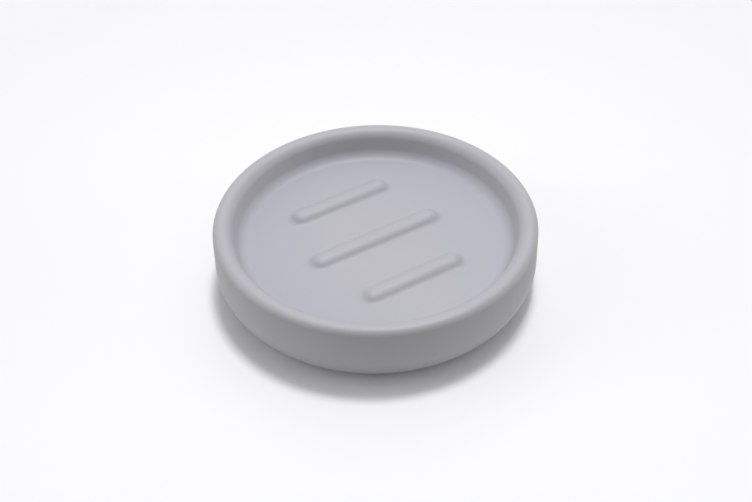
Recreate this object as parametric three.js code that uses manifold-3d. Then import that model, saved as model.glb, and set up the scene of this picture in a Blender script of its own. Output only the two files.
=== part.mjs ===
// A round soap dish: one cast body with a rounded rim, a sunk tray with raised ribs on its floor,
// and rubber feet let into the base ring underneath.
// Millimetres, +Z up. The origin is on the table, under the middle of the dish, and +X runs along the ribs.

import * as THREE from 'three';
import { mergeVertices } from 'three/addons/utils/BufferGeometryUtils.js';
import Module from 'manifold-3d';

// Body, seen in section from the outside inwards
const DISH_DIAMETER = 115;
const BASE_ROUNDING = 11; // the upright side wall turns in under the dish along this radius
const RIM_OUTER_RADIUS = 2.8; // rounding from the side wall to the top of the rim
const RIM_CROWN = 0.2; // level strip along the top of the rim
const RIM_INNER_RADIUS = 4.2; // rounding from the top of the rim into the tray
const TRAY_DRAFT_DEG = 20; // the tray's wall leans out towards the rim
const TRAY_COVE_RADIUS = 4.4; // hollow corner between the tray's wall and floor
const TRAY_DEPTH = 9.3; // from the top of the rim to the tray floor
const FLOOR_THICKNESS = 12.5;

// Underside
const RECESS_DEPTH = 3.4; // the middle of the underside is sunk, which leaves a base ring
const RECESS_DRAFT_DEG = 20;
const RECESS_EDGE_RADIUS = 1; // rounding along the inner edge of the base ring
const RECESS_COVE_RADIUS = 2;

// Ribs on the tray floor
const RIB_COUNT = 3;
const RIB_SPACING = 24.6;
const RIB_LENGTH_MIDDLE = 52.6; // over the rounded ends
const RIB_LENGTH_OUTER = 40.3; // for every rib that is off the middle
const RIB_WIDTH = 7.7; // where the crown would meet the floor
const RIB_HEIGHT = 2.1;
const RIB_FILLET_RADIUS = 3.5; // hollow corner along the foot of the rib
const RIB_ROOT = 1; // how far a rib's solid reaches into the floor before the two are joined

// Rubber feet
const FOOT_COUNT = 4;
const FOOT_DIAMETER = 8;
const FOOT_STAND = 0.5; // how far a foot stands out below the base ring
const FOOT_EDGE_RADIUS = 0.3;
const FOOT_DRAFT_DEG = 8;
const SOCKET_DEPTH = 0.7;
const SOCKET_CLEARANCE = 0.3; // all round the foot
const SOCKET_MARGIN = 1.5; // base ring left on each side of a socket

// Facets
const DISH_SEGMENTS = 64;
const RIB_SEGMENTS = 20;
const RIB_ARC_DIVISIONS = 4;
const FOOT_SEGMENTS = 20;
const ARC_STEP_DEG = 15; // along rounded corners in section

// Surfaces
const BODY_COLOUR = 0xb6b6bd;
const BODY_ROUGHNESS = 0.6;
const FOOT_COLOUR = 0x7c7c7e;
const FOOT_ROUGHNESS = 0.85;

const wasm = await Module();
wasm.setup();

// Levels above the table and radii that follow from the driving dimensions
const baseZ = FOOT_STAND;
const footTopZ = baseZ + SOCKET_DEPTH;
const recessZ = baseZ + RECESS_DEPTH;
const floorZ = recessZ + FLOOR_THICKNESS;
const rimZ = floorZ + TRAY_DEPTH;
const rimRadius = DISH_DIAMETER / 2;
const crownRadius = rimRadius - RIM_OUTER_RADIUS - RIM_CROWN;
const mouthRadius = crownRadius - setbackOf(RIM_INNER_RADIUS, TRAY_DRAFT_DEG);
const floorRadius = mouthRadius - leanOf(TRAY_DEPTH, TRAY_DRAFT_DEG);
const socketRadius = FOOT_DIAMETER / 2 + SOCKET_CLEARANCE;
const ringWidth = 2 * (socketRadius + SOCKET_MARGIN);
const ringOuterRadius = rimRadius - BASE_ROUNDING;
const recessMouthRadius = ringOuterRadius - ringWidth;
const recessRadius = recessMouthRadius - leanOf(RECESS_DEPTH, RECESS_DRAFT_DEG);
const footCircleRadius = ringOuterRadius - ringWidth / 2;

// How far a wall of the given height is offset by its draft.
function leanOf(height, draftDeg) {
  return height * Math.tan(THREE.MathUtils.degToRad(draftDeg));
}

// How far the rounding between a level face and a wall with the given draft reaches along that face.
function setbackOf(radius, draftDeg) {
  return radius * Math.tan(THREE.MathUtils.degToRad((90 - draftDeg) / 2));
}

// An outline in section through the given corners, each { r, z, round }. A corner with a rounding
// radius becomes an arc, and two arcs that would meet on one edge share that edge between them.
function roundedProfile(corners) {
  const points = corners.map(({ r, z }) => new THREE.Vector2(r, z));
  const setbacks = corners.map(({ round = 0 }, i) => {
    if (round === 0) return 0;
    return round / Math.tan(cornerAngle(points, i) / 2);
  });
  const shares = points.slice(1).map((point, i) => {
    const wanted = setbacks[i] + setbacks[i + 1];
    return Math.min(1, point.distanceTo(points[i]) / Math.max(wanted, Number.EPSILON));
  });
  return corners.flatMap((corner, i) => {
    if (!setbacks[i]) return [points[i]];
    return cornerArc(points, i, setbacks[i] * Math.min(shares[i - 1], shares[i]));
  });
}

// The angle between the two edges that meet at a corner.
function cornerAngle(points, i) {
  const back = points[i - 1].clone().sub(points[i]);
  const ahead = points[i + 1].clone().sub(points[i]);
  return back.angleTo(ahead);
}

// Points along the arc that rounds a corner, starting and ending at the given distance from it.
function cornerArc(points, i, setback) {
  const corner = points[i];
  const toBack = points[i - 1].clone().sub(corner).normalize();
  const toAhead = points[i + 1].clone().sub(corner).normalize();
  const half = cornerAngle(points, i) / 2;
  const radius = setback * Math.tan(half);
  const inwards = toBack.clone().add(toAhead).normalize();
  const centre = corner.clone().addScaledVector(inwards, setback / Math.cos(half));
  const start = corner.clone().addScaledVector(toBack, setback).sub(centre);
  const end = corner.clone().addScaledVector(toAhead, setback).sub(centre);
  const clockwise = start.cross(end) < 0;
  const [from, to] = [start.angle(), end.angle()];
  const arc = new THREE.EllipseCurve(centre.x, centre.y, radius, radius, from, to, clockwise);
  const turn = THREE.MathUtils.radToDeg(Math.PI - 2 * half);
  return arc.getPoints(Math.max(2, Math.ceil(turn / ARC_STEP_DEG)));
}

// The profile turned about the Z axis.
function revolve(profile, segments, startAngle = 0) {
  return new THREE.LatheGeometry(profile, segments, startAngle).rotateX(Math.PI / 2);
}

// A closed geometry as a solid for joining and cutting.
function toSolid(geometry) {
  geometry.deleteAttribute('normal');
  geometry.deleteAttribute('uv');
  const merged = mergeVertices(geometry);
  const triangles = [];
  for (let i = 0; i < merged.index.count; i += 3) {
    const corners = [0, 1, 2].map((k) => merged.index.getX(i + k));
    if (new Set(corners).size === 3) triangles.push(...corners);
  }
  return new wasm.Manifold(new wasm.Mesh({
    numProp: 3,
    vertProperties: merged.attributes.position.array,
    triVerts: Uint32Array.from(triangles),
  }));
}

// A solid back as a geometry.
function toGeometry(solid) {
  const { vertProperties, triVerts } = solid.getMesh();
  const geometry = new THREE.BufferGeometry();
  geometry.setAttribute('position', new THREE.BufferAttribute(vertProperties, 3));
  geometry.setIndex(new THREE.BufferAttribute(triVerts, 1));
  geometry.computeVertexNormals();
  return geometry;
}

// The body without ribs or sockets: from the middle of the underside, round the rim, to the tray floor.
function bodyBlank() {
  const profile = roundedProfile([
    { r: 0, z: recessZ },
    { r: recessRadius, z: recessZ, round: RECESS_COVE_RADIUS },
    { r: recessMouthRadius, z: baseZ, round: RECESS_EDGE_RADIUS },
    { r: rimRadius, z: baseZ, round: BASE_ROUNDING },
    { r: rimRadius, z: rimZ, round: RIM_OUTER_RADIUS },
    { r: mouthRadius, z: rimZ, round: RIM_INNER_RADIUS },
    { r: floorRadius, z: floorZ, round: TRAY_COVE_RADIUS },
    { r: 0, z: floorZ },
  ]);
  return revolve(profile, DISH_SEGMENTS);
}

// Half of a rib's section: a crown that is one arc, and a fillet that runs out flat on the floor.
function ribProfile() {
  const halfWidth = RIB_WIDTH / 2;
  const crown = (halfWidth ** 2 + RIB_HEIGHT ** 2) / (2 * RIB_HEIGHT);
  const crownZ = RIB_HEIGHT - crown;
  const filletR = Math.sqrt((crown + RIB_FILLET_RADIUS) ** 2 - (RIB_FILLET_RADIUS - crownZ) ** 2);
  const lean = Math.atan2(RIB_FILLET_RADIUS - crownZ, filletR);
  const path = new THREE.Path();
  path.moveTo(0, -RIB_ROOT);
  path.lineTo(filletR, -RIB_ROOT);
  path.lineTo(filletR, 0);
  path.absarc(filletR, RIB_FILLET_RADIUS, RIB_FILLET_RADIUS, -Math.PI / 2, lean - Math.PI, true);
  path.absarc(0, crownZ, crown, lean, Math.PI / 2, false);
  return path.getPoints(RIB_ARC_DIVISIONS);
}

// A rib along X on the floor: its section turned about Z, and the two halves then drawn apart.
function rib(length) {
  const profile = ribProfile();
  const halfStep = Math.PI / RIB_SEGMENTS;
  const geometry = revolve(profile, RIB_SEGMENTS, halfStep);
  const place = geometry.attributes.position;
  const straight = length - RIB_WIDTH;
  for (let i = 0; i < place.count; i += 1) {
    const angle = halfStep * (2 * Math.floor(i / profile.length) + 1);
    place.setX(i, place.getX(i) + Math.sign(Math.sin(angle)) * straight / 2);
  }
  return geometry;
}

// The places of the feet, on a circle in the middle of the base ring.
function footPlaces() {
  return Array.from({ length: FOOT_COUNT }, (_, i) => {
    const angle = (2 * Math.PI * (i + 0.5)) / FOOT_COUNT;
    return new THREE.Vector2(Math.cos(angle), Math.sin(angle)).multiplyScalar(footCircleRadius);
  });
}

// The finished body: ribs joined to the tray floor, sockets cut into the base ring.
function bodyGeometry() {
  let body = toSolid(bodyBlank());
  for (let i = 0; i < RIB_COUNT; i += 1) {
    const y = (i - (RIB_COUNT - 1) / 2) * RIB_SPACING;
    const length = y === 0 ? RIB_LENGTH_MIDDLE : RIB_LENGTH_OUTER;
    body = body.add(toSolid(rib(length).translate(0, y, floorZ)));
  }
  for (const place of footPlaces()) {
    const socket = new THREE.CylinderGeometry(socketRadius, socketRadius, 2 * SOCKET_DEPTH, FOOT_SEGMENTS);
    body = body.subtract(toSolid(socket.rotateX(Math.PI / 2).translate(place.x, place.y, baseZ)));
  }
  return toGeometry(body);
}

// A foot standing on the table: a disc with drafted sides and a rounded lower edge.
function footGeometry() {
  const soleRadius = FOOT_DIAMETER / 2 - leanOf(footTopZ, FOOT_DRAFT_DEG);
  const profile = roundedProfile([
    { r: 0, z: 0 },
    { r: soleRadius, z: 0, round: FOOT_EDGE_RADIUS },
    { r: FOOT_DIAMETER / 2, z: footTopZ },
    { r: 0, z: footTopZ },
  ]);
  return revolve(profile, FOOT_SEGMENTS);
}

function surface(color, roughness) {
  return new THREE.MeshStandardMaterial({ color, roughness, metalness: 0 });
}

function namedMesh(name, geometry, material) {
  const mesh = new THREE.Mesh(geometry, material);
  mesh.name = name;
  return mesh;
}

const soapDish = new THREE.Group();
soapDish.add(namedMesh('dish_body', bodyGeometry(), surface(BODY_COLOUR, BODY_ROUGHNESS)));
footPlaces().forEach((place, i) => {
  const foot = namedMesh(`rubber_foot_${i + 1}`, footGeometry(), surface(FOOT_COLOUR, FOOT_ROUGHNESS));
  foot.position.set(place.x, place.y, 0);
  soapDish.add(foot);
});

export default soapDish;
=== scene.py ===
"""Dresses a round soap dish: a turned body with ribs under a silky matt coat, on rubber feet."""
import logging
import math
from collections.abc import Iterable, Mapping, Sequence
from dataclasses import dataclass, field
from enum import Enum, IntEnum
from functools import cache
from typing import Any, Self

import bpy
from mathutils import Matrix, Vector


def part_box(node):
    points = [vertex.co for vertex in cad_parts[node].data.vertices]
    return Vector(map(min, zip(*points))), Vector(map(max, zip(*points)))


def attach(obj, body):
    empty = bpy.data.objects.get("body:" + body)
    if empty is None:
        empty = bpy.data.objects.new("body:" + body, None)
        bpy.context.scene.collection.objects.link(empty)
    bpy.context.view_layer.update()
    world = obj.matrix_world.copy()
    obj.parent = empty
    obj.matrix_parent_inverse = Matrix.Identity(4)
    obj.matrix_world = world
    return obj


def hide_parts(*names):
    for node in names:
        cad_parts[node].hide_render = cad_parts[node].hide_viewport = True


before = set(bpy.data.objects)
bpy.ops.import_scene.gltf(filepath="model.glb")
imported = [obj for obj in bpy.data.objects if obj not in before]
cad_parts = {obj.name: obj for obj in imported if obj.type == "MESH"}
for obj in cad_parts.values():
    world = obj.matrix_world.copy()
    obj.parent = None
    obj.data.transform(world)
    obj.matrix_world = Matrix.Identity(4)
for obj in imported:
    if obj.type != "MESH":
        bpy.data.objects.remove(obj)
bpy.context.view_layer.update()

MM = 0.001
PICTURE_WIDTH = 752
SENSOR_WIDTH_MM = 36.0
WELD = 1e-6
LEVEL_TOLERANCE = 1e-5
COUNT_TOLERANCE = 0.25
LEVEL_SHARE = (1.0, 1.0, 0.0)
LOG = logging.getLogger("soap_dish")

Colour = tuple[float, float, float]
Triple = tuple[float, float, float]
Span = tuple[float, float]
Socket = bpy.types.NodeSocket


class Kind(Enum):
    """The socket types that the trees' inputs and outputs use."""

    GEOMETRY = "NodeSocketGeometry"
    NUMBER = "NodeSocketFloat"
    COUNT = "NodeSocketInt"
    VECTOR = "NodeSocketVector"
    MATERIAL = "NodeSocketMaterial"

    @classmethod
    def of(cls, value: Any) -> Self:
        """The type of socket that takes a value."""
        return {int: cls.COUNT, float: cls.NUMBER, bpy.types.Material: cls.MATERIAL}[type(value)]


class Chain(IntEnum):
    """The separate lines of the body's section drawing."""

    SHELL = 0
    UNDERSIDE = 1
    RIB = 2
    SOCKET = 3


class ColourMix(IntEnum):
    """The places of a mix node's sockets for colours: three inputs, and the output."""

    FACTOR = 0
    A = 6
    B = 7
    RESULT = 2


class Graph:
    """Adds nodes to a tree and joins them, so that a tree reads as a list of steps."""

    def __init__(self, tree: bpy.types.NodeTree) -> None:
        """Keeps the tree that the nodes go into; only a group has a start and an end."""
        self.tree = tree
        self.start: bpy.types.Node | None = None
        self.end: bpy.types.Node | None = None

    @classmethod
    def group(
        cls, name: str, tree_type: str, takes: Mapping[str, Kind], gives: Mapping[str, Kind],
    ) -> Self:
        """Starts a node group with named inputs and outputs.

        Args:
            name: the group's name.
            tree_type: the type of tree, geometry or shader.
            takes: the inputs' names and types.
            gives: the outputs' names and types.

        Returns:
            The graph of the new group.
        """
        graph = cls(bpy.data.node_groups.new(name, tree_type))
        for direction, sockets in (("INPUT", takes), ("OUTPUT", gives)):
            for socket_name, kind in sockets.items():
                graph.tree.interface.new_socket(
                    name=socket_name, in_out=direction, socket_type=kind.value)
        graph.start = graph.tree.nodes.new("NodeGroupInput")
        graph.end = graph.tree.nodes.new("NodeGroupOutput")
        return graph

    def taken(self, name: str) -> Socket:
        """The group's own input of that name."""
        return self.start.outputs[name]

    def give(self, name: str, value: Socket) -> None:
        """Joins a value to the group's output of that name."""
        self.tree.links.new(value, self.end.inputs[name])

    def add(
        self, kind: str, feeds: Mapping[Any, Any] | None = None, out: Any = 0, **settings: Any,
    ) -> Socket:
        """Adds a node, sets it up and feeds its inputs.

        Args:
            kind: the node's type.
            feeds: its inputs by name or place, each an output to join or a value to set.
            out: the output that is wanted, by name or place.
            settings: the node's own properties.

        Returns:
            The wanted output of the new node.
        """
        node = self.tree.nodes.new(kind)
        for name, value in settings.items():
            setattr(node, name, value)
        for key, value in (feeds or {}).items():
            self.feed(node.inputs[key], value)
        return node.outputs[out]

    def feed(self, socket: Socket, value: Any) -> None:
        """Joins an output to an input, or sets the input's value."""
        if isinstance(value, Socket):
            self.tree.links.new(value, socket)
        else:
            socket.default_value = value

    def use(self, group: bpy.types.NodeTree, feeds: Mapping[str, Any], out: Any = 0) -> Socket:
        """Places a node group, feeds its inputs by name and gives the wanted output."""
        kind = "GeometryNodeGroup" if group.bl_idname == "GeometryNodeTree" else "ShaderNodeGroup"
        return self.add(kind, feeds, out, node_tree=group)

    def math(self, operation: str, *values: Any) -> Socket:
        """One step of arithmetic on numbers or outputs."""
        return self.add("ShaderNodeMath", dict(enumerate(values)), operation=operation)

    def vector(self, x: Any = 0.0, y: Any = 0.0, z: Any = 0.0) -> Socket:
        """A vector from three numbers or outputs."""
        return self.add("ShaderNodeCombineXYZ", {"X": x, "Y": y, "Z": z})

    def split(self, vector: Socket, axis: str) -> Socket:
        """One component of a vector."""
        return self.add("ShaderNodeSeparateXYZ", {"Vector": vector}, out=axis)

    def vector_math(self, operation: str, *values: Any, out: str = "Vector") -> Socket:
        """One step of arithmetic on vectors."""
        return self.add("ShaderNodeVectorMath", dict(enumerate(values)), out, operation=operation)

    def length(self, vector: Socket) -> Socket:
        """The length of a vector."""
        return self.vector_math("LENGTH", vector, out="Value")


class GeometryGraph(Graph):
    """A graph of geometry nodes, with the steps that the dish's trees share."""

    @classmethod
    def start_tree(cls, name: str, sizes: Mapping[str, Any]) -> Self:
        """Starts a tree that takes a section and the named sizes and gives one geometry."""
        takes = {"Section": Kind.GEOMETRY} | {size: Kind.of(value) for size, value in sizes.items()}
        return cls.group(name, "GeometryNodeTree", takes, {"Geometry": Kind.GEOMETRY})

    def stored(self, name: str, kind: str = "FLOAT") -> Socket:
        """A stored value of the geometry, read by its name."""
        return self.add("GeometryNodeInputNamedAttribute", {"Name": name}, data_type=kind)

    def store(self, geometry: Socket, name: str, value: Socket) -> Socket:
        """The geometry with a number stored on its points."""
        feeds = {"Geometry": geometry, "Name": name, "Value": value}
        return self.add("GeometryNodeStoreNamedAttribute", feeds, data_type="FLOAT", domain="POINT")

    def forget(self, geometry: Socket, names: Iterable[str]) -> Socket:
        """The geometry without the stored values of those names."""
        for name in names:
            geometry = self.add("GeometryNodeRemoveAttribute", {"Geometry": geometry, "Name": name})
        return geometry

    def equals(self, a: Socket, b: Any) -> Socket:
        """Whether two counts are equal."""
        return self.math("COMPARE", a, b, COUNT_TOLERANCE)

    def join(self, *geometries: Socket) -> Socket:
        """Several geometries as one."""
        node = self.tree.nodes.new("GeometryNodeJoinGeometry")
        for geometry in geometries:
            self.tree.links.new(geometry, node.inputs["Geometry"])
        return node.outputs["Geometry"]

    def weld(self, geometry: Socket) -> Socket:
        """The geometry with points that lie on each other made one."""
        return self.add("GeometryNodeMergeByDistance", {"Geometry": geometry, "Distance": WELD})

    def move(self, geometry: Socket, offset: Socket) -> Socket:
        """The geometry with each point moved by an offset."""
        return self.add("GeometryNodeSetPosition", {"Geometry": geometry, "Offset": offset})

    def place_on(self, points: Socket, instance: Socket) -> Socket:
        """Copies of a geometry on points, made real."""
        copies = self.add("GeometryNodeInstanceOnPoints", {"Points": points, "Instance": instance})
        return self.add("GeometryNodeRealizeInstances", {"Geometry": copies})

    def ring_points(self, count: Socket, radius: Socket, height: Any) -> Socket:
        """Points on a level circle, the first one half a step from X.

        Args:
            count: how many points.
            radius: the circle's radius.
            height: the circle's height.

        Returns:
            The points, as a mesh of edges.
        """
        feeds = {"Vertices": count, "Radius": radius}
        circle = self.add("GeometryNodeMeshCircle", feeds, fill_type="NONE")
        turn = self.vector(z=self.math("DIVIDE", math.pi, count))
        feeds = {"Geometry": circle, "Translation": self.vector(z=height), "Rotation": turn}
        return self.add("GeometryNodeTransform", feeds)

    def fill_level(self, mesh: Socket, height: Socket) -> Socket:
        """A flat sheet between the open edges of a mesh that lie at one height.

        Args:
            mesh: the mesh with open edges.
            height: the height of the edges.

        Returns:
            The sheet, at that height and facing up.
        """
        open_edge = self.equals(self.add("GeometryNodeInputMeshEdgeNeighbors"), 1)
        own_height = self.split(self.add("GeometryNodeInputPosition"), "Z")
        at_height = self.math("COMPARE", own_height, height, LEVEL_TOLERANCE)
        chosen = self.add("FunctionNodeBooleanMath", {0: open_edge, 1: at_height}, operation="AND")
        loops = self.add("GeometryNodeMeshToCurve", {"Mesh": mesh, "Selection": chosen})
        sheet = self.add("GeometryNodeFillCurve", {"Curve": loops}, mode="TRIANGLES")
        return self.move(sheet, self.vector(z=height))

    def finish(self, geometry: Socket, sharp_deg: float, material: Socket) -> None:
        """Smooths the faces, keeps sharp edges sharp, gives the material and ends the tree.

        Args:
            geometry: the finished mesh.
            sharp_deg: the angle between faces from which an edge is sharp.
            material: the material of the whole mesh.
        """
        smooth = self.add("GeometryNodeSetShadeSmooth", {"Geometry": geometry}, domain="FACE")
        angle = self.add("GeometryNodeInputMeshEdgeAngle")
        sharp = self.math("GREATER_THAN", angle, math.radians(sharp_deg))
        feeds = {"Geometry": smooth, "Selection": sharp, "Shade Smooth": False}
        edged = self.add("GeometryNodeSetShadeSmooth", feeds, domain="EDGE")
        real = self.add("GeometryNodeRealizeInstances", {"Geometry": edged})
        dressed = self.add("GeometryNodeSetMaterial", {"Geometry": real, "Material": material})
        self.give("Geometry", dressed)


class ShaderGraph(Graph):
    """A graph of shader nodes, with the steps that the finishes and the tent share."""

    @classmethod
    def effect(cls, name: str, gives: str, *numbers: str) -> Self:
        """Starts a group that takes a place and the named numbers and gives one number."""
        takes = {"Vector": Kind.VECTOR} | dict.fromkeys(numbers, Kind.NUMBER)
        return cls.group(name, "ShaderNodeTree", takes, {gives: Kind.NUMBER})

    def stepped(self, value: Socket, start: Any, end: Any) -> Socket:
        """A mask that goes softly from 0 where the value is at its start to 1 at its end."""
        feeds = {"Value": value, "From Min": start, "From Max": end}
        return self.add("ShaderNodeMapRange", feeds, interpolation_type="SMOOTHSTEP")

    def ranged(self, mask: Socket, low: float, high: float) -> Socket:
        """A mask from 0 to 1 taken to another range."""
        return self.add("ShaderNodeMapRange", {"Value": mask, "To Min": low, "To Max": high})

    def blended(self, mask: Socket, a: Any, b: Any) -> Socket:
        """Two colours blended by a mask."""
        a, b = ((*c, 1.0) if isinstance(c, tuple) else c for c in (a, b))
        feeds = {ColourMix.FACTOR: mask, ColourMix.A: a, ColourMix.B: b}
        return self.add("ShaderNodeMix", feeds, ColourMix.RESULT, data_type="RGBA")

    def on_rays(self, first: str, *others: str) -> Socket:
        """A mask that is 1 on light rays of the named kinds."""
        rays = self.add("ShaderNodeLightPath").node
        mask = rays.outputs[first]
        for kind in others:
            mask = self.math("MAXIMUM", mask, rays.outputs[kind])
        return mask


@dataclass(frozen=True)
class Corner:
    """A corner of a section: radius from the axis, height, and the radius that rounds it."""

    r: float
    z: float
    rounding: float = 0.0

    def point(self) -> Vector:
        """The corner as a point of the section's plane."""
        return Vector((self.r, self.z))


class Section:
    """A drawing of section lines, from which pieces are turned about the Z axis."""

    collars_needed = 3

    def __init__(self, name: str, collar: float) -> None:
        """Starts an empty drawing.

        Args:
            name: the name of the drawing's object.
            collar: how far flat faces reach past a rounding before the next point.
        """
        self.name = name
        self.collar = collar
        self.points: list[Corner] = []
        self.edges: list[tuple[int, int]] = []
        self.chains: list[int] = []

    def draw(self, corners: Sequence[Corner], chain: int = 0) -> None:
        """Adds one line through corners, with a collar beside each rounding.

        Args:
            corners: the line's corners in order.
            chain: the number that the line is known by.
        """
        line = self._with_collars(corners)
        first = len(self.points)
        self.points += line
        self.chains += [chain] * len(line)
        self.edges += [(i, i + 1) for i in range(first, first + len(line) - 1)]

    def _with_collars(self, corners: Sequence[Corner]) -> list[Corner]:
        """Adds a point a collar's width past each end of a rounding, where the edge has room.

        Args:
            corners: the line's corners in order.

        Returns:
            The corners with the points between them.
        """
        reach = [self._setback(corners, i) for i in range(len(corners))]
        line = [corners[0]]
        for i in range(1, len(corners)):
            a, b = corners[i - 1].point(), corners[i].point()
            length = (b - a).length
            along = [reach[i - 1] + self.collar, length - reach[i] - self.collar]
            if length > sum(reach[i - 1:i + 1]) + self.collars_needed * self.collar:
                kept = [s for s, r in zip(along, reach[i - 1:i + 1]) if r]
                line += [Corner(*a.lerp(b, s / length)) for s in kept]
            line.append(corners[i])
        return line

    @staticmethod
    def _setback(corners: Sequence[Corner], i: int) -> float:
        """Works out how far the rounding of a corner reaches along its two edges.

        Args:
            corners: the line's corners in order.
            i: which corner.

        Returns:
            The distance from the corner to either end of its rounding.
        """
        if not corners[i].rounding:
            return 0.0
        back = corners[i - 1].point() - corners[i].point()
        ahead = corners[i + 1].point() - corners[i].point()
        return corners[i].rounding / math.tan(back.angle(ahead) / 2)

    def object(self) -> bpy.types.Object:
        """Makes an object of edges, with the roundings and line numbers stored on its points.

        Returns:
            The object, drawn in the XY plane with heights along -Y.
        """
        mesh = bpy.data.meshes.new(self.name)
        mesh.from_pydata([(p.r, -p.z, 0.0) for p in self.points], self.edges, [])
        rounding = mesh.attributes.new("rounding", "FLOAT", "POINT")
        rounding.data.foreach_set("value", [p.rounding for p in self.points])
        chain = mesh.attributes.new("chain", "INT", "POINT")
        chain.data.foreach_set("value", self.chains)
        drawing = bpy.data.objects.new(self.name, mesh)
        bpy.context.scene.collection.objects.link(drawing)
        return drawing


@cache
def turning_group() -> bpy.types.NodeTree:
    """Makes the group that rounds a section's corners and turns it about the Z axis.

    Returns:
        The group, built once.
    """
    hub = 1.0 * MM
    # Only the types of these values count: the trees that use the group feed it
    sizes = {"Steps round": 0, "Steps per rounding": 0, "First step": 0.0}
    graph = GeometryGraph.start_tree("turned_section", sizes)
    rounding = graph.stored("rounding")
    is_round = graph.math("GREATER_THAN", rounding, 0.0)
    feeds = {"Switch": is_round, "False": 1, "True": graph.taken("Steps per rounding")}
    steps = graph.add("GeometryNodeSwitch", feeds, input_type="INT")
    line = graph.add("GeometryNodeMeshToCurve", {"Mesh": graph.taken("Section")})
    feeds = {"Curve": line, "Count": steps, "Radius": rounding}
    rounded = graph.add("GeometryNodeFilletCurve", feeds, mode="POLY")
    profile = graph.move(rounded, (-hub, 0.0, 0.0))
    feeds = {"Resolution": graph.taken("Steps round"), "Radius": hub}
    circle = graph.add("GeometryNodeCurvePrimitiveCircle", feeds, mode="RADIUS")
    step = graph.math("DIVIDE", math.tau, graph.taken("Steps round"))
    turn = graph.vector(z=graph.math("MULTIPLY", step, graph.taken("First step")))
    rail = graph.add("GeometryNodeTransform", {"Geometry": circle, "Rotation": turn})
    upright = graph.add("GeometryNodeSetCurveNormal", {"Curve": rail}, mode="Z_UP")
    turned = graph.add("GeometryNodeCurveToMesh", {"Curve": upright, "Profile Curve": profile})
    outward = graph.add("GeometryNodeFlipFaces", {"Mesh": turned})
    graph.give("Geometry", graph.weld(outward))
    return graph.tree


def made_piece(
    name: str, drawing: bpy.types.Object, tree: bpy.types.NodeTree, sizes: Mapping[str, Any],
) -> bpy.types.Object:
    """Runs a geometry tree on a drawing and keeps the result as a plain mesh.

    Args:
        name: the piece's name.
        drawing: the object that the tree works on; it is deleted.
        tree: the geometry tree.
        sizes: values for the tree's named inputs.

    Returns:
        The piece, at the origin.
    """
    modifier = drawing.modifiers.new("form", "NODES")
    modifier.node_group = tree
    for item in tree.interface.items_tree:
        if item.in_out == "INPUT" and item.name in sizes:
            modifier[item.identifier] = sizes[item.name]
    evaluated = drawing.evaluated_get(bpy.context.evaluated_depsgraph_get())
    mesh = bpy.data.meshes.new_from_object(evaluated)
    drawing.modifiers.remove(modifier)
    section = drawing.data
    bpy.data.objects.remove(drawing)
    bpy.data.meshes.remove(section)
    mesh.name = name
    # The drawing's own empty slot may stand before the finish's slot
    if mesh.materials[0] is None:
        mesh.materials.pop(index=0)
    piece = bpy.data.objects.new(name, mesh)
    bpy.context.scene.collection.objects.link(piece)
    return piece


def foot_nodes() -> list[str]:
    """The names of the frame's feet, in order."""
    return sorted(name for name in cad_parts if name.startswith("rubber_foot"))


@dataclass
class RubberFeet:
    """The rubber feet, each let into a socket under the base ring. Sizes in metres."""

    edge_rounding: float = 0.3 * MM
    draft_deg: float = 8.0
    collar: float = 0.05 * MM
    steps_round: int = 64
    steps_per_rounding: int = 8
    sharp_deg: float = 40.0
    nodes: list[str] = field(default_factory=foot_nodes)

    def __post_init__(self) -> None:
        """Reads the feet's size and places from the frame."""
        low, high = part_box(self.nodes[0])
        middle = (low + high) / 2
        self.radius: float = (high.x - low.x) / 2
        self.sole_z: float = low.z
        self.top_z: float = high.z
        self.circle_radius: float = middle.xy.length

    def section(self) -> Section:
        """Draws one foot in section, from the middle of its sole to the middle of its top.

        Returns:
            The section drawing.
        """
        lean = (self.top_z - self.sole_z) * math.tan(math.radians(self.draft_deg))
        section = Section("foot_section", self.collar)
        section.draw([
            Corner(0.0, self.sole_z),
            Corner(self.radius - lean, self.sole_z, self.edge_rounding),
            Corner(self.radius, self.top_z),
            Corner(0.0, self.top_z),
        ])
        return section

    def tree(self, sizes: Mapping[str, Any]) -> bpy.types.NodeTree:
        """Builds the tree that turns a foot and sets copies of it on their circle.

        Args:
            sizes: the values that the tree's inputs are made for.

        Returns:
            The geometry tree.
        """
        graph = GeometryGraph.start_tree("feet_on_a_circle", sizes)
        shared = {k: graph.taken(k) for k in ("Section", "Steps round", "Steps per rounding")}
        foot = graph.use(turning_group(), shared)
        count, radius = graph.taken("Foot count"), graph.taken("Foot circle radius")
        places = graph.ring_points(count, radius, 0.0)
        feet = graph.forget(graph.place_on(places, foot), ("rounding", "chain"))
        graph.finish(feet, self.sharp_deg, graph.taken("Finish"))
        return graph.tree

    def build(self, finish: bpy.types.Material) -> bpy.types.Object:
        """Makes all the feet as one piece.

        Args:
            finish: their material.

        Returns:
            The piece, riding on the root body in place of the frame's feet.
        """
        sizes = {
            "Steps round": self.steps_round, "Steps per rounding": self.steps_per_rounding,
            "Foot count": len(self.nodes), "Foot circle radius": self.circle_radius,
            "Finish": finish,
        }
        feet = made_piece("moulded_feet", self.section().object(), self.tree(sizes), sizes)
        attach(feet, "root")
        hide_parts(*self.nodes)
        return feet


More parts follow.
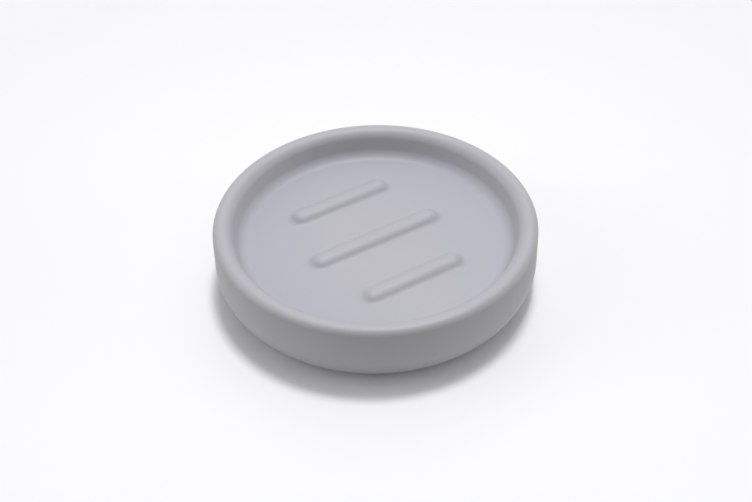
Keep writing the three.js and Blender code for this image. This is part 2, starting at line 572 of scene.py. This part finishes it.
@dataclass
class DishBody:
    """The dish itself, turned in one piece with its moulded ribs. Sizes in metres."""

    feet: RubberFeet
    base_rounding: float = 11.0 * MM
    rim_outer: float = 2.8 * MM
    rim_crown: float = 0.2 * MM
    rim_inner: float = 4.2 * MM
    tray_draft_deg: float = 20.0
    tray_cove: float = 4.4 * MM
    tray_depth: float = 9.3 * MM
    recess_depth: float = 3.4 * MM
    recess_draft_deg: float = 20.0
    recess_edge: float = 1.0 * MM
    recess_cove: float = 2.0 * MM
    rib_count: int = 3
    rib_spacing: float = 24.6 * MM
    rib_length_middle: float = 52.6 * MM
    rib_length_outer: float = 40.3 * MM
    rib_width: float = 7.7 * MM
    rib_height: float = 2.1 * MM
    rib_fillet: float = 3.5 * MM
    socket_clearance: float = 0.3 * MM
    socket_margin: float = 1.5 * MM
    collar: float = 0.25 * MM
    steps_round: int = 256
    steps_per_rounding: int = 20
    rib_steps: int = 64
    rib_arc_steps: int = 16
    socket_steps: int = 64
    sharp_deg: float = 40.0

    def __post_init__(self) -> None:
        """Reads the outer sizes from the frame and works out the levels and radii that follow."""
        low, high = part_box("dish_body")
        self.radius: float = (high.x - low.x) / 2
        self.base_z: float = low.z
        self.rim_z: float = high.z
        self.floor_z: float = self.rim_z - self.tray_depth
        self.recess_z: float = self.base_z + self.recess_depth
        crown = self.radius - self.rim_outer - self.rim_crown
        self.mouth_radius: float = crown - self._setback(self.rim_inner, self.tray_draft_deg)
        tray_lean = self._lean(self.tray_depth, self.tray_draft_deg)
        self.floor_radius: float = self.mouth_radius - tray_lean
        self.socket_radius: float = self.feet.radius + self.socket_clearance
        self.ring_outer: float = self.radius - self.base_rounding
        self.ring_inner: float = self.ring_outer - 2 * (self.socket_radius + self.socket_margin)

    @staticmethod
    def _lean(height: float, draft_deg: float) -> float:
        """How far a wall of that height is offset by its draft."""
        return height * math.tan(math.radians(draft_deg))

    @staticmethod
    def _setback(rounding: float, draft_deg: float) -> float:
        """How far the rounding beside a drafted wall reaches along the level face."""
        return rounding * math.tan(math.radians((90.0 - draft_deg) / 2))

    def section(self) -> Section:
        """Draws the body's lines: shell, underside, rib and socket.

        Returns:
            The section drawing, with each line under its own number.
        """
        section = Section("dish_section", self.collar)
        section.draw(self._shell_line(), Chain.SHELL)
        section.draw(self._underside_line(), Chain.UNDERSIDE)
        section.draw(self._rib_line(), Chain.RIB)
        section.draw(self._socket_line(), Chain.SOCKET)
        return section

    def _shell_line(self) -> list[Corner]:
        """From the base ring's outer edge up the side, over the rim and down to the tray floor."""
        cove_end = self.floor_radius - self._setback(self.tray_cove, self.tray_draft_deg)
        return [
            Corner(self.ring_outer - self.collar, self.base_z),
            Corner(self.radius, self.base_z, self.base_rounding),
            Corner(self.radius, self.rim_z, self.rim_outer),
            Corner(self.mouth_radius, self.rim_z, self.rim_inner),
            Corner(self.floor_radius, self.floor_z, self.tray_cove),
            Corner(cove_end - self.collar, self.floor_z),
        ]

    def _underside_line(self) -> list[Corner]:
        """From the middle of the sunk underside out to the inner edge of the base ring."""
        edge_end = self.ring_inner + self._setback(self.recess_edge, self.recess_draft_deg)
        cove_radius = self.ring_inner - self._lean(self.recess_depth, self.recess_draft_deg)
        return [
            Corner(0.0, self.recess_z),
            Corner(cove_radius, self.recess_z, self.recess_cove),
            Corner(self.ring_inner, self.base_z, self.recess_edge),
            Corner(edge_end + self.collar, self.base_z),
        ]

    def _rib_line(self) -> list[Corner]:
        """Draws half of a rib's section: a fillet that runs out flat, and a crown of one arc.

        Returns:
            The line from the fillet's outer end to the crown's top, in heights above the floor.
        """
        half = self.rib_width / 2
        crown = (half ** 2 + self.rib_height ** 2) / (2 * self.rib_height)
        crown_z = self.rib_height - crown
        fillet_r = math.sqrt((crown + self.rib_fillet) ** 2 - (self.rib_fillet - crown_z) ** 2)
        lean = math.atan2(self.rib_fillet - crown_z, fillet_r)
        upright = math.radians(90)
        line = [Corner(fillet_r + self.collar, 0.0)]
        steps = self.rib_arc_steps
        for k in range(steps + 1):
            angle = -upright + (lean - upright) * k / steps
            out, up = self.rib_fillet * math.cos(angle), self.rib_fillet * (1 + math.sin(angle))
            line.append(Corner(fillet_r + out, up))
        for k in range(1, steps + 1):
            angle = lean + (upright - lean) * k / steps
            line.append(Corner(crown * math.cos(angle), crown_z + crown * math.sin(angle)))
        line[-1] = Corner(0.0, self.rib_height)
        return line

    def _socket_line(self) -> list[Corner]:
        """From the middle of a socket's ceiling to the base ring, in heights above the ring."""
        depth = self.feet.top_z - self.base_z
        return [
            Corner(0.0, depth),
            Corner(self.socket_radius, depth),
            Corner(self.socket_radius, 0.0),
            Corner(self.socket_radius + self.collar, 0.0),
        ]

    def tree(self, sizes: Mapping[str, Any]) -> bpy.types.NodeTree:
        """Builds the tree that turns the body, sets ribs and sockets and closes the flat faces.

        Args:
            sizes: the values that the tree's inputs are made for.

        Returns:
            The geometry tree.
        """
        graph = GeometryGraph.start_tree("turned_dish", sizes)
        shell = self._turned(graph, (Chain.SHELL, Chain.UNDERSIDE), "Steps round")
        sockets = self._turned(graph, (Chain.SOCKET,), "Socket steps")
        ring_sizes = ("Foot count", "Foot circle radius", "Base height")
        places = graph.ring_points(*map(graph.taken, ring_sizes))
        sockets = graph.place_on(places, sockets)
        walls = graph.weld(graph.join(shell, self._ribs(graph), sockets))
        tray_floor = graph.fill_level(walls, graph.taken("Tray floor height"))
        ring = graph.fill_level(walls, graph.taken("Base height"))
        ring = graph.add("GeometryNodeFlipFaces", {"Mesh": ring})
        body = graph.weld(graph.join(walls, tray_floor, ring))
        body = graph.forget(body, ("rounding", "chain", "side", "reach"))
        graph.finish(body, self.sharp_deg, graph.taken("Finish"))
        return graph.tree

    @staticmethod
    def _turned(
        graph: GeometryGraph, chains: Sequence[Chain], steps: str, first_step: float = 0.0,
    ) -> Socket:
        """Turns some of the section's lines.

        Args:
            graph: the tree's graph.
            chains: the lines to turn.
            steps: the name of the input that says in how many steps.
            first_step: where the first step lies, as a part of a step.

        Returns:
            The turned mesh.
        """
        number = graph.stored("chain", "INT")
        chosen = None
        for chain in chains:
            is_chain = graph.equals(number, int(chain))
            chosen = is_chain if chosen is None else graph.add(
                "FunctionNodeBooleanMath", {0: chosen, 1: is_chain}, operation="OR")
        feeds = {"Geometry": graph.taken("Section"), "Selection": chosen}
        lines = graph.add("GeometryNodeSeparateGeometry", feeds, domain="POINT")
        return graph.use(turning_group(), {
            "Section": lines, "Steps round": graph.taken(steps), "First step": first_step,
            "Steps per rounding": graph.taken("Steps per rounding"),
        })

    def _ribs(self, graph: GeometryGraph) -> Socket:
        """Sets a dome for each rib in a row across the tray and draws its halves apart.

        Args:
            graph: the tree's graph.

        Returns:
            The ribs, each at its own length.
        """
        half_step = 0.5
        x = graph.split(graph.add("GeometryNodeInputPosition"), "X")
        dome = self._turned(graph, (Chain.RIB,), "Rib steps", half_step)
        dome = graph.store(dome, "side", graph.math("SIGN", x))
        last = graph.math("SUBTRACT", graph.taken("Rib count"), 1)
        row_length = graph.math("MULTIPLY", last, graph.taken("Rib spacing"))
        first_y = graph.math("DIVIDE", row_length, -2)
        row = graph.add("GeometryNodeMeshLine", {
            "Count": graph.taken("Rib count"),
            "Start Location": graph.vector(y=first_y, z=graph.taken("Tray floor height")),
            "Offset": graph.vector(y=graph.taken("Rib spacing")),
        }, mode="OFFSET", count_mode="TOTAL")
        index, middle = graph.add("GeometryNodeInputIndex"), graph.math("DIVIDE", last, 2)
        length = graph.add("GeometryNodeSwitch", {
            "Switch": graph.equals(index, middle),
            "False": graph.taken("Outer rib length"), "True": graph.taken("Middle rib length"),
        }, input_type="FLOAT")
        reach = graph.math("DIVIDE", graph.math("SUBTRACT", length, graph.taken("Rib width")), 2)
        ribs = graph.place_on(graph.store(row, "reach", reach), dome)
        apart = graph.math("MULTIPLY", graph.stored("side"), graph.stored("reach"))
        return graph.move(ribs, graph.vector(x=apart))

    def build(self, finish: bpy.types.Material) -> bpy.types.Object:
        """Makes the body.

        Args:
            finish: its material.

        Returns:
            The piece, riding on the root body in place of the frame's body.
        """
        sizes = {
            "Steps round": self.steps_round, "Steps per rounding": self.steps_per_rounding,
            "Rib steps": self.rib_steps, "Rib count": self.rib_count,
            "Rib spacing": self.rib_spacing, "Middle rib length": self.rib_length_middle,
            "Outer rib length": self.rib_length_outer, "Rib width": self.rib_width,
            "Socket steps": self.socket_steps,
            "Foot count": len(self.feet.nodes), "Foot circle radius": self.feet.circle_radius,
            "Tray floor height": self.floor_z, "Base height": self.base_z, "Finish": finish,
        }
        body = made_piece("coated_body", self.section().object(), self.tree(sizes), sizes)
        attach(body, "root")
        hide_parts("dish_body")
        return body


class SurfaceEffects:
    """Shader groups that more than one finish uses, each built once."""

    cloud_noise = {"Detail": 3.0, "Roughness": 0.55, "Distortion": 0.4}
    cloud_range: Span = (0.3, 0.7)
    grain_detail = 2.0
    ripple_detail = 1.0

    @classmethod
    @cache
    def cloud(cls) -> bpy.types.NodeTree:
        """Makes a slow, soft change over the surface.

        Returns:
            The group, whose mask goes from 0 to 1.
        """
        graph = ShaderGraph.effect("soft_cloud", "Mask", "Scale")
        feeds = {"Vector": graph.taken("Vector"), "Scale": graph.taken("Scale")}
        noise = graph.add("ShaderNodeTexNoise", feeds | cls.cloud_noise)
        graph.give("Mask", graph.stepped(noise, *cls.cloud_range))
        return graph.tree

    @classmethod
    @cache
    def grain(cls) -> bpy.types.NodeTree:
        """Makes a fine grain on a wider, weaker ripple.

        Returns:
            The group, whose height goes from 0 to 1.
        """
        numbers = ("Grain scale", "Ripple scale", "Ripple share")
        graph = ShaderGraph.effect("fine_grain", "Height", *numbers)
        place = graph.taken("Vector")
        feeds = {"Vector": place, "Scale": graph.taken("Grain scale"), "Detail": cls.grain_detail}
        grain = graph.add("ShaderNodeTexNoise", feeds)
        feeds = {"Vector": place, "Scale": graph.taken("Ripple scale"), "Detail": cls.ripple_detail}
        ripple = graph.add("ShaderNodeTexNoise", feeds)
        feeds = {"Factor": graph.taken("Ripple share"), "A": grain, "B": ripple}
        graph.give("Height", graph.add("ShaderNodeMix", feeds, data_type="FLOAT"))
        return graph.tree

    @classmethod
    @cache
    def specks(cls) -> bpy.types.NodeTree:
        """Makes small scattered round specks.

        Returns:
            The group, whose mask is 1 in a speck and 0 between them.
        """
        graph = ShaderGraph.effect("scattered_specks", "Mask", "Scale", "Size", "Share")
        feeds = {"Vector": graph.taken("Vector"), "Scale": graph.taken("Scale")}
        distance = graph.add("ShaderNodeTexVoronoi", feeds, out="Distance")
        chance = graph.split(graph.add("ShaderNodeTexVoronoi", feeds, out="Color"), "X")
        dot = graph.stepped(distance, graph.taken("Size"), 0.0)
        picked = graph.math("LESS_THAN", chance, graph.taken("Share"))
        graph.give("Mask", graph.math("MULTIPLY", dot, picked))
        return graph.tree


class Finish:
    """What every finish needs: a new material with one shader and Object coordinates."""

    @staticmethod
    def started(name: str) -> tuple[bpy.types.Material, ShaderGraph, bpy.types.Node, Socket]:
        """Starts a material.

        Args:
            name: the material's name.

        Returns:
            The material, its graph, its shader node and its Object coordinates.
        """
        material = bpy.data.materials.new(name)
        material.use_nodes = True
        graph = ShaderGraph(material.node_tree)
        place = graph.add("ShaderNodeTexCoord", out="Object")
        return material, graph, material.node_tree.nodes["Principled BSDF"], place


@dataclass(frozen=True)
class GrainedFinish(Finish):
    """What coat and rubber share: a cloudy colour, a fine grain and scattered pale specks."""

    name: str
    tint: Colour
    deep_tint: Colour
    speck_tint: Colour
    roughness: Span
    specular: float
    cloud_scale: float
    grain_scale: float
    ripple_scale: float
    ripple_share: float
    grain_depth: float
    grain_strength: float
    speck_scale: float
    speck_size: float
    speck_share: float

    def material(self) -> bpy.types.Material:
        """Makes the finish's material.

        Returns:
            The material.
        """
        material, graph, shader, place = self.started(self.name)
        cloud = graph.use(SurfaceEffects.cloud(), {"Vector": place, "Scale": self.cloud_scale})
        grain = graph.use(SurfaceEffects.grain(), {
            "Vector": place, "Grain scale": self.grain_scale,
            "Ripple scale": self.ripple_scale, "Ripple share": self.ripple_share,
        })
        specks = graph.use(SurfaceEffects.specks(), {
            "Vector": place, "Scale": self.speck_scale,
            "Size": self.speck_size, "Share": self.speck_share,
        })
        colour = self._toned(graph, place, cloud, graph.blended(cloud, self.tint, self.deep_tint))
        graph.feed(shader.inputs["Base Color"], graph.blended(specks, colour, self.speck_tint))
        dull = graph.ranged(self._dullness(graph, cloud, grain), *self.roughness)
        graph.feed(shader.inputs["Roughness"], dull)
        graph.feed(shader.inputs["Specular IOR Level"], self.specular)
        feeds = {"Height": grain, "Strength": self.grain_strength, "Distance": self.grain_depth}
        graph.feed(shader.inputs["Normal"], graph.add("ShaderNodeBump", feeds))
        return material

    def _toned(self, graph: ShaderGraph, place: Socket, cloud: Socket, colour: Socket) -> Socket:
        """The colour under the specks, to which a finish may give tones of its own."""
        return colour

    def _dullness(self, graph: ShaderGraph, cloud: Socket, grain: Socket) -> Socket:
        """The mask that the roughness follows."""
        return grain


@dataclass(frozen=True)
class SilkCoat(GrainedFinish):
    """A silky matt coat: pale grey, with painted shade and light down the side wall and a painted
    cool sheen in the tray.

    The side is found by radius or low height, and its tint goes over a range of heights from darker
    high up to paler low down: painted shade under the rim, and painted light bounced up from the
    floor.
    The cool sheen, a painted reflection of the cool light from above, lies on faces that look up in
    the tray, weak round its middle point and strong beyond its reach.
    """

    name: str = "silk_coat"
    tint: Colour = (0.464, 0.464, 0.486)
    deep_tint: Colour = (0.452, 0.452, 0.474)
    shaded_high_tint: Colour = (0.420, 0.420, 0.428)
    bounce_lit_low_tint: Colour = (0.515, 0.515, 0.524)
    side_radius: Span = (55.5 * MM, 57.3 * MM)
    side_height: Span = (14.0 * MM, 11.0 * MM)
    painted_side_fall: Span = (24.0 * MM, 3.0 * MM)
    cool_sheen_tint: Colour = (0.437, 0.440, 0.504)
    cool_sheen_tilt: Span = (0.25, 0.95)
    cool_sheen_share: Span = (0.3, 1.0)
    cool_sheen_middle: Triple = (-1.2 * MM, -11.7 * MM, 0.0)
    cool_sheen_stretch: Triple = (1.0, 0.6, 0.0)
    cool_sheen_reach: Span = (14.0 * MM, 36.0 * MM)
    cool_sheen_height: Span = (22.0 * MM, 19.0 * MM)
    cool_sheen_patchiness: Span = (1.0, 0.8)
    speck_tint: Colour = (0.50, 0.50, 0.53)
    roughness: Span = (0.46, 0.54)
    specular: float = 0.5
    cloud_scale: float = 26.0
    grain_scale: float = 2600.0
    ripple_scale: float = 240.0
    ripple_share: float = 0.35
    grain_depth: float = 0.02 * MM
    grain_strength: float = 0.12
    speck_scale: float = 420.0
    speck_size: float = 0.11
    speck_share: float = 0.05

    def _toned(self, graph: ShaderGraph, place: Socket, cloud: Socket, colour: Socket) -> Socket:
        """Paints shade and light on the side by its height, and lays the painted cool sheen in the
        tray.

        Args:
            graph: the material's graph.
            place: the Object coordinates.
            cloud: the coat's cloud, which makes the painted sheen patchy.
            colour: the plain colour.

        Returns:
            The toned colour.
        """
        height = graph.split(place, "Z")
        radius = graph.length(graph.vector_math("MULTIPLY", place, LEVEL_SHARE))
        wide = graph.stepped(radius, *self.side_radius)
        side = graph.math("MAXIMUM", wide, graph.stepped(height, *self.side_height))
        fall = graph.stepped(height, *self.painted_side_fall)
        # Painted shade darkens the side under the rim; painted light makes it paler towards the
        # base, where light bounces up from the floor
        painted_side_tint = graph.blended(fall, self.shaded_high_tint, self.bounce_lit_low_tint)
        colour = graph.blended(side, colour, painted_side_tint)
        # Painted reflection of the cool light from above, laid on the tray's faces that look up
        return graph.blended(self._cool_sheen(graph, place, height, cloud), colour, self.cool_sheen_tint)

    def _dullness(self, graph: ShaderGraph, cloud: Socket, grain: Socket) -> Socket:
        """The mean of the cloud and the grain."""
        return graph.math("DIVIDE", graph.math("ADD", cloud, grain), 2)

    def _cool_sheen(self, graph: ShaderGraph, place: Socket, height: Socket, cloud: Socket) -> Socket:
        """Finds where the painted cool sheen lies and how strong it is: a painted reflection of the
        cool light from above, on faces that look up.

        Args:
            graph: the material's graph.
            place: the Object coordinates.
            height: their Z.
            cloud: the coat's cloud, which makes the painted sheen patchy.

        Returns:
            The painted sheen's share of the colour, from 0 to 1.
        """
        facing_up = graph.split(graph.add("ShaderNodeNewGeometry", out="Normal"), "Z")
        away = graph.vector_math("SUBTRACT", place, self.cool_sheen_middle)
        away = graph.vector_math("MULTIPLY", away, self.cool_sheen_stretch)
        sheen_strength = graph.math(
            "MULTIPLY", graph.stepped(graph.length(away), *self.cool_sheen_reach),
            graph.stepped(height, *self.cool_sheen_height))
        share = graph.ranged(sheen_strength, *self.cool_sheen_share)
        share = graph.math("MULTIPLY", share, graph.ranged(cloud, *self.cool_sheen_patchiness))
        return graph.math("MULTIPLY", share, graph.stepped(facing_up, *self.cool_sheen_tilt))


@dataclass(frozen=True)
class FootRubber(GrainedFinish):
    """Grey rubber: dull and finely grained, with specks of pale dust caught in it."""

    name: str = "foot_rubber"
    tint: Colour = (0.20, 0.20, 0.21)
    deep_tint: Colour = (0.16, 0.16, 0.17)
    speck_tint: Colour = (0.42, 0.42, 0.42)
    roughness: Span = (0.74, 0.9)
    specular: float = 0.25
    cloud_scale: float = 300.0
    grain_scale: float = 3200.0
    ripple_scale: float = 700.0
    ripple_share: float = 0.4
    grain_depth: float = 0.03 * MM
    grain_strength: float = 0.35
    speck_scale: float = 1500.0
    speck_size: float = 0.2
    speck_share: float = 0.18


@dataclass(frozen=True)
class StudioPaper(Finish):
    """White paper: painted shade makes it a little darker far from the dish, and it is darker in
    what it throws back.
    """

    near_tint: Colour = (0.945, 0.945, 0.953)
    far_tint: Colour = (0.880, 0.880, 0.892)
    near_reach: float = 60.0 * MM
    far_reach: float = 220.0 * MM
    thrown_back: Colour = (0.62, 0.62, 0.62)
    roughness: float = 1.0
    specular: float = 0.0

    def material(self) -> bpy.types.Material:
        """Makes the paper's material.

        Returns:
            The material.
        """
        material, graph, shader, place = self.started("studio_paper")
        near, far = self.near_reach, self.far_reach
        feeds = {"Value": graph.length(place), "From Min": near, "From Max": far}
        # Painted shade: the paper is made darker far from the dish, where more light reaches it
        # than near the dish
        shown = graph.blended(graph.add("ShaderNodeMapRange", feeds), self.near_tint, self.far_tint)
        seen = graph.on_rays("Is Camera Ray", "Is Glossy Ray", "Is Transmission Ray")
        graph.feed(shader.inputs["Base Color"], graph.blended(seen, self.thrown_back, shown))
        graph.feed(shader.inputs["Roughness"], self.roughness)
        graph.feed(shader.inputs["Specular IOR Level"], self.specular)
        return material


@dataclass(frozen=True)
class PictureView:
    """The camera: where it looks from, and the axes of its view on the table. Sizes in metres."""

    azimuth_deg: float = -31.2
    elevation_deg: float = 41.31
    roll_deg: float = -1.14
    distance: float = 554.0 * MM
    pixels_per_mm: float = 2.705
    aim_right: float = 0.05 * MM
    aim_away: float = 11.68 * MM
    aim_height: float = 0.5 * MM
    clip: Span = (0.01, 50.0)

    def right(self) -> Vector:
        """The level direction to the right in the picture."""
        a = math.radians(self.azimuth_deg)
        return Vector((math.cos(a), math.sin(a), 0.0))

    def away(self) -> Vector:
        """The level direction away from the camera."""
        a = math.radians(self.azimuth_deg)
        return Vector((-math.sin(a), math.cos(a), 0.0))

    def direction(self, right: float, away: float, up: float) -> Vector:
        """A direction given by its parts along the view's axes."""
        return self.right() * right + self.away() * away + Vector((0.0, 0.0, up))

    def place(self) -> bpy.types.Object:
        """Makes the camera and makes it the scene's own.

        Returns:
            The camera object.
        """
        data = bpy.data.cameras.new("picture_camera")
        data.sensor_width = SENSOR_WIDTH_MM
        data.sensor_fit = "HORIZONTAL"
        data.lens = SENSOR_WIDTH_MM * self.pixels_per_mm * self.distance / MM / PICTURE_WIDTH
        data.clip_start, data.clip_end = self.clip
        e = math.radians(self.elevation_deg)
        forward = self.direction(0.0, math.cos(e), -math.sin(e))
        level_right = self.right()
        level_up = level_right.cross(forward)
        roll = math.radians(self.roll_deg)
        right = level_right * math.cos(roll) + level_up * math.sin(roll)
        up = level_up * math.cos(roll) - level_right * math.sin(roll)
        aim = self.direction(self.aim_right, self.aim_away, self.aim_height)
        turn = Matrix((right, up, -forward)).transposed().to_4x4()
        camera = bpy.data.objects.new("picture_camera", data)
        camera.matrix_world = Matrix.Translation(aim - forward * self.distance) @ turn
        bpy.context.scene.collection.objects.link(camera)
        bpy.context.scene.camera = camera
        return camera


@dataclass(frozen=True)
class SoftPatch:
    """A soft bright patch of the tent, whose azimuth is 0 to the right in the picture and 90 away.

    A higher fade makes a smaller patch.
    """

    azimuth_deg: float
    elevation_deg: float
    level: float
    fade: float

    def direction(self, view: PictureView) -> Vector:
        """The direction from the dish to the middle of the patch."""
        a, e = math.radians(self.azimuth_deg), math.radians(self.elevation_deg)
        return view.direction(math.cos(a) * math.cos(e), math.sin(a) * math.cos(e), math.sin(e))


@dataclass(frozen=True)
class LightTent:
    """A white tent round the dish, lit from outside in soft patches that fade into each other."""

    right: SoftPatch = SoftPatch(azimuth_deg=0.0, elevation_deg=50.0, level=0.72, fade=9.0)
    back: SoftPatch = SoftPatch(azimuth_deg=90.0, elevation_deg=36.0, level=1.3, fade=9.0)
    left: SoftPatch = SoftPatch(azimuth_deg=180.0, elevation_deg=24.0, level=1.45, fade=9.0)
    front: SoftPatch = SoftPatch(azimuth_deg=270.0, elevation_deg=36.0, level=0.62, fade=9.0)
    low_right: SoftPatch = SoftPatch(azimuth_deg=0.0, elevation_deg=2.0, level=3.8, fade=25.0)
    low_left: SoftPatch = SoftPatch(azimuth_deg=180.0, elevation_deg=2.0, level=1.5, fade=25.0)
    top: SoftPatch = SoftPatch(azimuth_deg=72.0, elevation_deg=81.0, level=2.8, fade=50.0)
    tint: Colour = (1.0, 0.997, 1.01)
    backdrop: Colour = (0.955, 0.955, 0.965)

    def raise_over(self, view: PictureView) -> bpy.types.World:
        """Makes the world that lights the scene.

        Args:
            view: the camera's view, whose axes the tent follows.

        Returns:
            The world.
        """
        world = bpy.data.worlds.new("light_tent")
        world.use_nodes = True
        graph = ShaderGraph(world.node_tree)
        graph.tree.nodes.clear()
        ray = graph.add("ShaderNodeTexCoord", out="Generated")
        light: Any = 0.0
        level_patches = (self.right, self.back, self.left, self.front)
        for patch in (*level_patches, self.low_right, self.low_left, self.top):
            bright = self._faded(graph, ray, patch, view)
            light = graph.math("MULTIPLY_ADD", bright, patch.level, light)
        tent = graph.add("ShaderNodeBackground", {"Color": (*self.tint, 1.0), "Strength": light})
        drop = graph.add("ShaderNodeBackground", {"Color": (*self.backdrop, 1.0), "Strength": 1.0})
        seen = graph.on_rays("Is Camera Ray", "Is Transmission Ray")
        shown = graph.add("ShaderNodeMixShader", {0: seen, 1: tent, 2: drop})
        output = graph.tree.nodes.new("ShaderNodeOutputWorld")
        graph.feed(output.inputs["Surface"], shown)
        bpy.context.scene.world = world
        return world

    @staticmethod
    def _faded(graph: ShaderGraph, ray: Socket, patch: SoftPatch, view: PictureView) -> Socket:
        """A patch's brightness along a ray: 1 in the middle of the patch, fading out round it."""
        nearness = graph.vector_math("DOT_PRODUCT", ray, patch.direction(view), out="Value")
        return graph.math("EXPONENT", graph.math("MULTIPLY_ADD", nearness, patch.fade, -patch.fade))


@dataclass(frozen=True)
class Studio:
    """The room round the dish: a white paper floor, one soft key lamp and the tent.

    The key lamp leans to the right and away in the picture, by the given parts of its height.
    """

    floor_reach: float = 4.0
    key_right: float = 0.07
    key_away: float = 0.25
    key_spread_deg: float = 12.0
    key_level: float = 0.47
    tent: LightTent = LightTent()
    paper: StudioPaper = StudioPaper()

    def set_up(self, view: PictureView) -> None:
        """Makes the floor and the lights.

        Args:
            view: the camera's view, whose axes the lights follow.
        """
        reach = self.floor_reach
        mesh = bpy.data.meshes.new("paper_floor")
        corners = [(-reach, -reach, 0), (reach, -reach, 0), (reach, reach, 0), (-reach, reach, 0)]
        mesh.from_pydata(corners, [], [range(len(corners))])
        mesh.materials.append(self.paper.material())
        floor = bpy.data.objects.new("paper_floor", mesh)
        bpy.context.scene.collection.objects.link(floor)
        data = bpy.data.lights.new("key_lamp", "SUN")
        data.energy = self.key_level * math.pi
        data.angle = math.radians(self.key_spread_deg)
        key = bpy.data.objects.new("key_lamp", data)
        key.rotation_mode = "QUATERNION"
        towards_lamp = view.direction(self.key_right, self.key_away, 1.0)
        key.rotation_quaternion = towards_lamp.to_track_quat("Z", "Y")
        bpy.context.scene.collection.objects.link(key)
        self.tent.raise_over(view)


def main() -> None:
    """Builds the dish piece by piece, then the studio and the camera."""
    logging.basicConfig(level=logging.INFO, format="%(message)s")
    bpy.context.scene.view_settings.view_transform = "Standard"
    feet = RubberFeet()
    body = DishBody(feet)
    for piece in (body.build(SilkCoat().material()), feet.build(FootRubber().material())):
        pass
    view = PictureView()
    Studio().set_up(view)
    LOG.info("camera: lens %.1f mm", view.place().data.lens)


if __name__ == "__main__":
    main()
